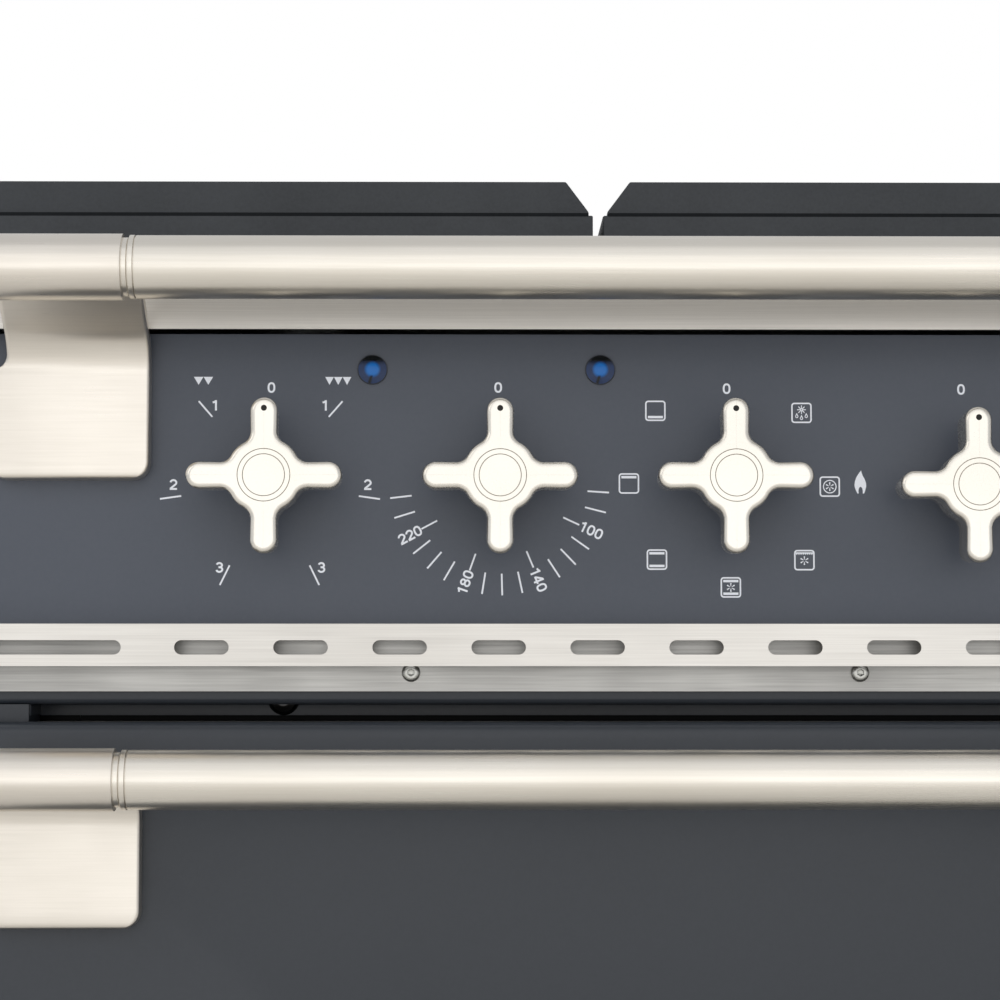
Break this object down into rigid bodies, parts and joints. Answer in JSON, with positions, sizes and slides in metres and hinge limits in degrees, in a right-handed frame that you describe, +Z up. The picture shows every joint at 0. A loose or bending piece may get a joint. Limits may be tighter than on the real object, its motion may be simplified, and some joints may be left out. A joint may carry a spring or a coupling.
{
  "type": "range cooker",
  "caption": "Freestanding range cooker with a gas hob, cross knobs, towel rail, wide electric oven with a drop-down door and a storage drawer.",
  "frame": {"origin": "on the floor, in the middle of the outline seen from above", "axes": "+X to the right seen from the front, the front faces -Y, +Z up"},
  "size_m": [0.92, 0.657, 0.9394],
  "materials": {
    "body_enamel": "semi-matt slate enamel",
    "panel_enamel": "semi-matt slate enamel with printed white marks",
    "door_enamel": "semi-matt slate enamel",
    "frame_enamel": "glossy black enamel",
    "galvanised": "galvanised sheet",
    "stainless": "brushed along X",
    "satin_nickel": "satin nickel plate",
    "knob_nickel": "satin nickel plate on die-cast knobs",
    "steel_bright": "bright steel",
    "rack_chrome": "bright chromed wire",
    "element_metal": "dull oxidised steel",
    "fan_metal": "plain sheet",
    "cast_supports": "matt enamelled cast iron",
    "burner_alloy": "cast",
    "cap_enamel": "matt black enamel",
    "tap_brass": "plain",
    "pipe_steel": "zinc plated",
    "control_plastic": "moulded",
    "lens_blue": "clear blue",
    "buffer_rubber": "smooth black",
    "seal_fibre": "woven glass fibre",
    "door_glass": "tinted",
    "inner_glass": "clear",
    "lamp_glass": "frosted"
  },
  "bodies": {
    "cooker": {"side_panel_left": "body_enamel", "side_panel_right": "body_enamel", "back_panel": "galvanised", "base_frame": "galvanised", "feet": "steel_bright", "front_frame": "frame_enamel", "cross_rail": "body_enamel", "control_panel": "panel_enamel", "hob_top": "stainless", "rear_vent": "stainless", "air_outlet": "stainless", "outlet_back_plate": "stainless", "outlet_screws": "steel_bright", "indicator_lamps": "lens_blue", "door_buffers": "buffer_rubber", "rail_tube": "satin_nickel", "rail_brackets": "satin_nickel", "oven_cavity": "frame_enamel", "door_seal": "seal_fibre", "shelf_runners": "rack_chrome", "oven_shelf": "rack_chrome", "baking_tray": "frame_enamel", "grill_element": "element_metal", "base_element": "element_metal", "ring_element": "element_metal", "fan_cover": "frame_enamel", "fan_motor": "galvanised", "oven_lamp": "lamp_glass", "burner_bodies": "burner_alloy", "burner_caps": "cap_enamel", "pan_support_left": "cast_supports", "pan_support_centre": "cast_supports", "pan_support_right": "cast_supports", "gas_taps": "tap_brass", "gas_manifold": "pipe_steel", "oven_controls": "control_plastic", "door_hinges": "galvanised"},
    "door": {"door_skin": "door_enamel", "door_glass": "door_glass", "door_inner_panel": "stainless", "door_inner_glass": "inner_glass", "door_handle_tube": "satin_nickel", "door_handle_brackets": "satin_nickel"},
    "drawer": {"drawer_front": "door_enamel", "drawer_box": "galvanised", "drawer_handle": "satin_nickel"},
    "fan": {"oven_fan": "fan_metal"},
    "grill_knob": {"knob_grill": "knob_nickel"},
    "thermostat_knob": {"knob_thermostat": "knob_nickel"},
    "function_knob": {"knob_function": "knob_nickel"},
    "tap_stem_1": {"tap_spindle_1": "steel_bright"},
    "burner_knob_1": {"knob_burner_1": "knob_nickel"},
    "tap_stem_2": {"tap_spindle_2": "steel_bright"},
    "burner_knob_2": {"knob_burner_2": "knob_nickel"},
    "tap_stem_3": {"tap_spindle_3": "steel_bright"},
    "burner_knob_3": {"knob_burner_3": "knob_nickel"},
    "tap_stem_4": {"tap_spindle_4": "steel_bright"},
    "burner_knob_4": {"knob_burner_4": "knob_nickel"},
    "tap_stem_5": {"tap_spindle_5": "steel_bright"},
    "burner_knob_5": {"knob_burner_5": "knob_nickel"}
  },
  "joints": [
    {"name": "door_hinge", "type": "hinge", "parent": "cooker", "child": "door", "pos_m": [0, -0.26175, 0.27], "axis": [1, 0, 0], "range_deg": [0, 90], "stiffness_Nm_per_rad": 9, "springref_deg": -20.05},
    {"name": "drawer_slide", "type": "slide", "parent": "cooker", "child": "drawer", "axis": [0, -1, 0], "range_m": [0, 0.33]},
    {"name": "fan_spin", "type": "hinge", "parent": "cooker", "child": "fan", "pos_m": [0, 0.19975, 0.49412], "axis": [0, -1, 0], "continuous": true},
    {"name": "grill_turn", "type": "hinge", "parent": "cooker", "child": "grill_knob", "pos_m": [-0.3335, -0.25175, 0.8081], "axis": [0, 1, 0], "range_deg": [-153.5, 153.5]},
    {"name": "thermostat_turn", "type": "hinge", "parent": "cooker", "child": "thermostat_knob", "pos_m": [-0.2396, -0.25175, 0.8081], "axis": [0, 1, 0], "range_deg": [0, 263.3]},
    {"name": "function_turn", "type": "hinge", "parent": "cooker", "child": "function_knob", "pos_m": [-0.1457, -0.25175, 0.8081], "axis": [0, 1, 0], "range_deg": [0, 315]},
    {"name": "burner_1_push", "type": "slide", "parent": "cooker", "child": "tap_stem_1", "axis": [0, 1, 0], "range_m": [0, 0.003], "stiffness_N_per_m": 900, "springref_m": -0.003},
    {"name": "burner_1_turn", "type": "hinge", "parent": "tap_stem_1", "child": "burner_knob_1", "pos_m": [-0.049, -0.25175, 0.8046], "axis": [0, -1, 0], "range_deg": [0, 210]},
    {"name": "burner_2_push", "type": "slide", "parent": "cooker", "child": "tap_stem_2", "axis": [0, 1, 0], "range_m": [0, 0.003], "stiffness_N_per_m": 900, "springref_m": -0.003},
    {"name": "burner_2_turn", "type": "hinge", "parent": "tap_stem_2", "child": "burner_knob_2", "pos_m": [0.04662, -0.25175, 0.8046], "axis": [0, -1, 0], "range_deg": [0, 210]},
    {"name": "burner_3_push", "type": "slide", "parent": "cooker", "child": "tap_stem_3", "axis": [0, 1, 0], "range_m": [0, 0.003], "stiffness_N_per_m": 900, "springref_m": -0.003},
    {"name": "burner_3_turn", "type": "hinge", "parent": "tap_stem_3", "child": "burner_knob_3", "pos_m": [0.14225, -0.25175, 0.8046], "axis": [0, -1, 0], "range_deg": [0, 210]},
    {"name": "burner_4_push", "type": "slide", "parent": "cooker", "child": "tap_stem_4", "axis": [0, 1, 0], "range_m": [0, 0.003], "stiffness_N_per_m": 900, "springref_m": -0.003},
    {"name": "burner_4_turn", "type": "hinge", "parent": "tap_stem_4", "child": "burner_knob_4", "pos_m": [0.23788, -0.25175, 0.8046], "axis": [0, -1, 0], "range_deg": [0, 210]},
    {"name": "burner_5_push", "type": "slide", "parent": "cooker", "child": "tap_stem_5", "axis": [0, 1, 0], "range_m": [0, 0.003], "stiffness_N_per_m": 900, "springref_m": -0.003},
    {"name": "burner_5_turn", "type": "hinge", "parent": "tap_stem_5", "child": "burner_knob_5", "pos_m": [0.3335, -0.25175, 0.8046], "axis": [0, -1, 0], "range_deg": [0, 210]}
  ]
}
